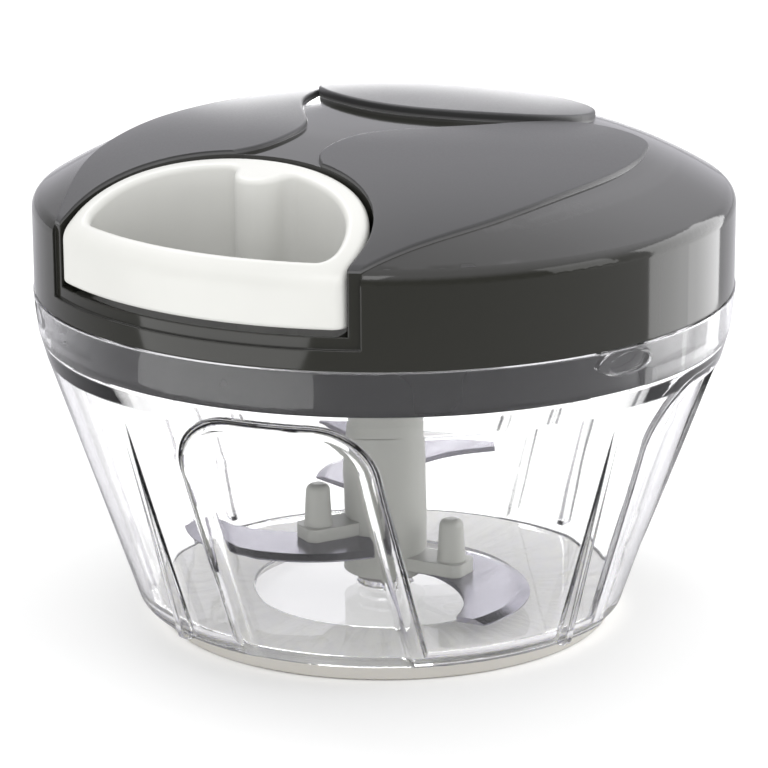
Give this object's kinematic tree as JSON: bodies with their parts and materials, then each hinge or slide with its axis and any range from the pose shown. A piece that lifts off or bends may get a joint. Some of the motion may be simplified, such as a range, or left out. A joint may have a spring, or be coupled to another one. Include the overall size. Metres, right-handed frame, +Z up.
{
  "type": "manual food chopper",
  "caption": "Hand food chopper: clear bowl with curved blades on a central shaft, and a domed lid whose grip pulls a cord to spin them.",
  "frame": {"origin": "middle of the resting face of the base ring, on the axis of the blade shaft", "axes": "+Z up along the shaft, -Y the way the grip is pulled, +X to the right seen from the grip"},
  "size_m": [0.1304, 0.1304, 0.0964],
  "materials": {
    "clear_plastic": "clear and smooth",
    "ring_plastic": "translucent, satin",
    "seal_rubber": "satin",
    "grey_gloss": "polished",
    "grey_satin": "satin",
    "screw_steel": "plain",
    "grip_white": "fine satin",
    "cord_fibre": "braided",
    "reel_plastic": "satin",
    "shaft_plastic": "satin",
    "spring_steel": "oiled",
    "blade_steel": "polished"
  },
  "bodies": {
    "bowl": {"bowl": "clear_plastic", "base_ring": "ring_plastic"},
    "seal": {"rim_gasket": "seal_rubber"},
    "lid": {"lid_cover": "grey_gloss", "mechanism_cover": "grey_satin", "cover_screws": "screw_steel", "cord_guide": "screw_steel", "reel_washer": "screw_steel", "reel_screw": "screw_steel"},
    "grip": {"pull_handle": "grip_white", "cord_stop": "screw_steel", "pull_cord": "cord_fibre"},
    "reel": {"cord_reel": "reel_plastic", "reel_cap": "reel_plastic", "cord_winding": "cord_fibre", "return_spring": "spring_steel", "pawl_pins": "screw_steel"},
    "pawl_a": {"pawl_a": "reel_plastic"},
    "pawl_b": {"pawl_b": "reel_plastic"},
    "hub": {"drive_hub": "shaft_plastic", "hub_clip": "spring_steel"},
    "blades": {"blade_shaft": "shaft_plastic", "blade_low": "blade_steel", "blade_mid": "blade_steel", "blade_top": "blade_steel"}
  },
  "joints": [
    {"name": "lid_turn", "type": "hinge", "parent": "bowl", "child": "seal", "pos_m": [0, 0, 0.064], "axis": [0, 0, 1], "range_deg": [-17, 0]},
    {"name": "lid_lift", "type": "slide", "parent": "seal", "child": "lid", "axis": [0, 0, 1], "range_m": [0, 0.1]},
    {"name": "handle_pull", "type": "slide", "parent": "lid", "child": "grip", "axis": [0, -1, 0], "range_m": [0, 0.35], "stiffness_N_per_m": 8, "springref_m": -0.25, "deforming": ["pull_cord"]},
    {"name": "reel_spin", "type": "hinge", "parent": "lid", "child": "reel", "pos_m": [0, 0, 0.072], "axis": [0, 0, 1], "range_deg": [0, 1087], "deforming": ["return_spring"]},
    {"name": "pawl_a_swing", "type": "hinge", "parent": "reel", "child": "pawl_a", "pos_m": [0, -0.0146, 0.0688], "axis": [0, 0, 1], "range_deg": [0, 14]},
    {"name": "pawl_b_swing", "type": "hinge", "parent": "reel", "child": "pawl_b", "pos_m": [0, 0.0146, 0.0688], "axis": [0, 0, 1], "range_deg": [0, 14]},
    {"name": "hub_spin", "type": "hinge", "parent": "lid", "child": "hub", "pos_m": [0, 0, 0.0633], "axis": [0, 0, 1], "range_deg": [0, 1087]},
    {"name": "blade_stay", "type": "slide", "parent": "hub", "child": "blades", "axis": [0, 0, 1], "range_m": [-0.1, 0]}
  ],
  "couplings": [
    {"joint": "reel_spin", "follows": "handle_pull", "rad_per_m": 54.2},
    {"joint": "hub_spin", "follows": "handle_pull", "rad_per_m": 54.2},
    {"joint": "blade_stay", "follows": "lid_lift", "ratio": -1}
  ]
}
